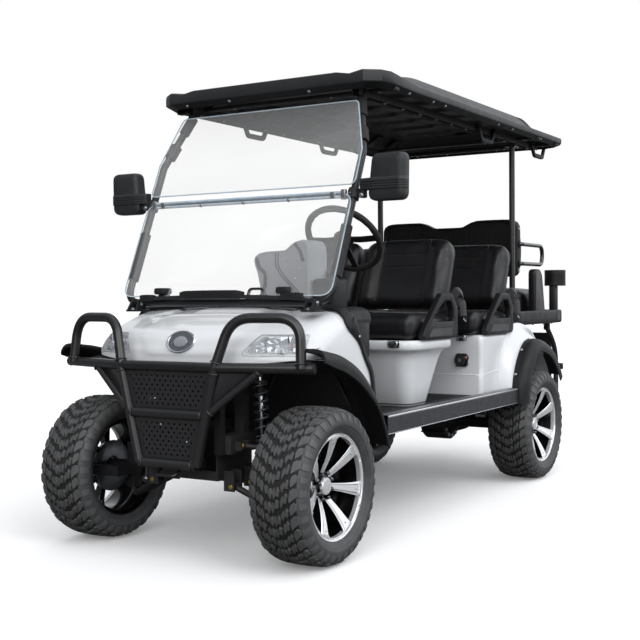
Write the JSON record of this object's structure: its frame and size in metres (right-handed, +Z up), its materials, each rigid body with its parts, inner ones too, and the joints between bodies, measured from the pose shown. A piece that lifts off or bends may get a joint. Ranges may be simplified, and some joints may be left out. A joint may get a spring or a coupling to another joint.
{
  "type": "golf cart",
  "caption": "Lifted electric golf cart with two forward seat rows, a rear-facing row, off-road tyres, a long roof, a fold-down windshield and a tube brush guard.",
  "frame": {"origin": "on the ground under the middle of the cart's overall length and width", "axes": "+Y to the rear, so the cart faces -Y; +X to the cart's left, where the steering wheel is; +Z up"},
  "size_m": [1.469, 3.3064, 1.99],
  "materials": {
    "battery_grey": "battery case",
    "black_textured": "textured black plastic",
    "cast": "cast housings",
    "clear_pane": "clear acrylic",
    "dash_grey": "grey moulded dashboard",
    "floor_black": "black ribbed rubber mat on a steel floor",
    "frame_black": "black powder-coated steel",
    "guard_black": "satin black powder-coated tube",
    "lamp_clear": "clear lamp lens with chrome reflectors",
    "lamp_red": "red lamp lens",
    "loop_gloss": "glossy black coated tube",
    "rim_machined": "machined faces with black windows",
    "roof_black": "matte charcoal moulded roof",
    "seat_black": "black stitched vinyl",
    "sill_grey": "ribbed grey extrusion",
    "steel": "zinc-plated steel",
    "tyre_rubber": "black rubber",
    "white_paint": "glossy white moulded body panels"
  },
  "bodies": {
    "chassis": {"armrests": "black_textured", "battery_pack": "battery_grey", "brush_guard": "guard_black", "dashboard": "dash_grey", "fender_flares": "black_textured", "floor_pan": "floor_black", "frame_crossmembers": "frame_black", "frame_rails": "frame_black", "front_arms": "frame_black", "front_cowl": "white_paint", "front_seat_pod": "white_paint", "front_struts": "frame_black", "front_subframe": "frame_black", "grab_loops": "loop_gloss", "guard_brackets": "frame_black", "guard_plates": "guard_black", "headlamps": "lamp_clear", "mirrors": "black_textured", "pedals": "black_textured", "rear_armrests": "black_textured", "rear_axle": "cast", "rear_back_shell": "black_textured", "rear_body": "white_paint", "rear_posts": "frame_black", "rear_seat_pads": "seat_black", "rear_seat_tray": "black_textured", "rear_supports": "frame_black", "rocker_sills": "sill_grey", "roof": "roof_black", "roof_rails": "black_textured", "seat_backs": "seat_black", "seat_cushions": "seat_black", "seat_latches": "black_textured", "steering_column": "frame_black", "suspension_springs": "steel", "tail_struts": "frame_black", "taillights": "lamp_red", "windshield_panes": "clear_pane", "windshield_rails": "black_textured"},
    "steering_wheel": {"steering_wheel": "black_textured"},
    "knuckle_left": {"knuckle_left": "cast"},
    "knuckle_right": {"knuckle_right": "cast"},
    "tie_rod": {"tie_rod": "steel"},
    "foot_platform": {"foot_platform": "frame_black"},
    "wheel_front_left": {"tyre_front_left": "tyre_rubber", "rim_front_left": "rim_machined"},
    "wheel_front_right": {"tyre_front_right": "tyre_rubber", "rim_front_right": "rim_machined"},
    "wheel_rear_left": {"tyre_rear_left": "tyre_rubber", "rim_rear_left": "rim_machined"},
    "wheel_rear_right": {"tyre_rear_right": "tyre_rubber", "rim_rear_right": "rim_machined"}
  },
  "joints": [
    {"name": "steer_left", "type": "hinge", "parent": "chassis", "child": "knuckle_left", "pos_m": [0.36, -1.36124, 0.292], "axis": [0, 0, 1], "range_deg": [-30, 30]},
    {"name": "steer_right", "type": "hinge", "parent": "chassis", "child": "knuckle_right", "pos_m": [-0.36, -1.36124, 0.292], "axis": [0, 0, 1], "range_deg": [-31, 31]},
    {"name": "tie_rod_slide", "type": "slide", "parent": "chassis", "child": "tie_rod", "axis": [1, 0, 0], "range_m": [-0.064, 0.064]},
    {"name": "steering_wheel_turn", "type": "hinge", "parent": "chassis", "child": "steering_wheel", "pos_m": [0.27, -0.72124, 1.232], "axis": [0, 0.7431, 0.6691], "range_deg": [-455, 455]},
    {"name": "foot_platform_fold", "type": "hinge", "parent": "chassis", "child": "foot_platform", "pos_m": [0, 1.63876, 0.425], "axis": [-1, 0, 0], "range_deg": [0, 90]},
    {"name": "front_left_spin", "type": "hinge", "parent": "knuckle_left", "child": "wheel_front_left", "pos_m": [0.506, -1.36124, 0.292], "axis": [1, 0, 0], "continuous": true},
    {"name": "rear_left_spin", "type": "hinge", "parent": "chassis", "child": "wheel_rear_left", "pos_m": [0.51, 0.82876, 0.292], "axis": [1, 0, 0], "continuous": true},
    {"name": "front_right_spin", "type": "hinge", "parent": "knuckle_right", "child": "wheel_front_right", "pos_m": [-0.506, -1.36124, 0.292], "axis": [1, 0, 0], "continuous": true},
    {"name": "rear_right_spin", "type": "hinge", "parent": "chassis", "child": "wheel_rear_right", "pos_m": [-0.51, 0.82876, 0.292], "axis": [1, 0, 0], "continuous": true}
  ],
  "couplings": [
    {"joint": "steer_right", "follows": "steer_left", "ratio": 1},
    {"joint": "tie_rod_slide", "follows": "steer_left", "m_per_rad": -0.12},
    {"joint": "steering_wheel_turn", "follows": "steer_left", "ratio": 15}
  ]
}
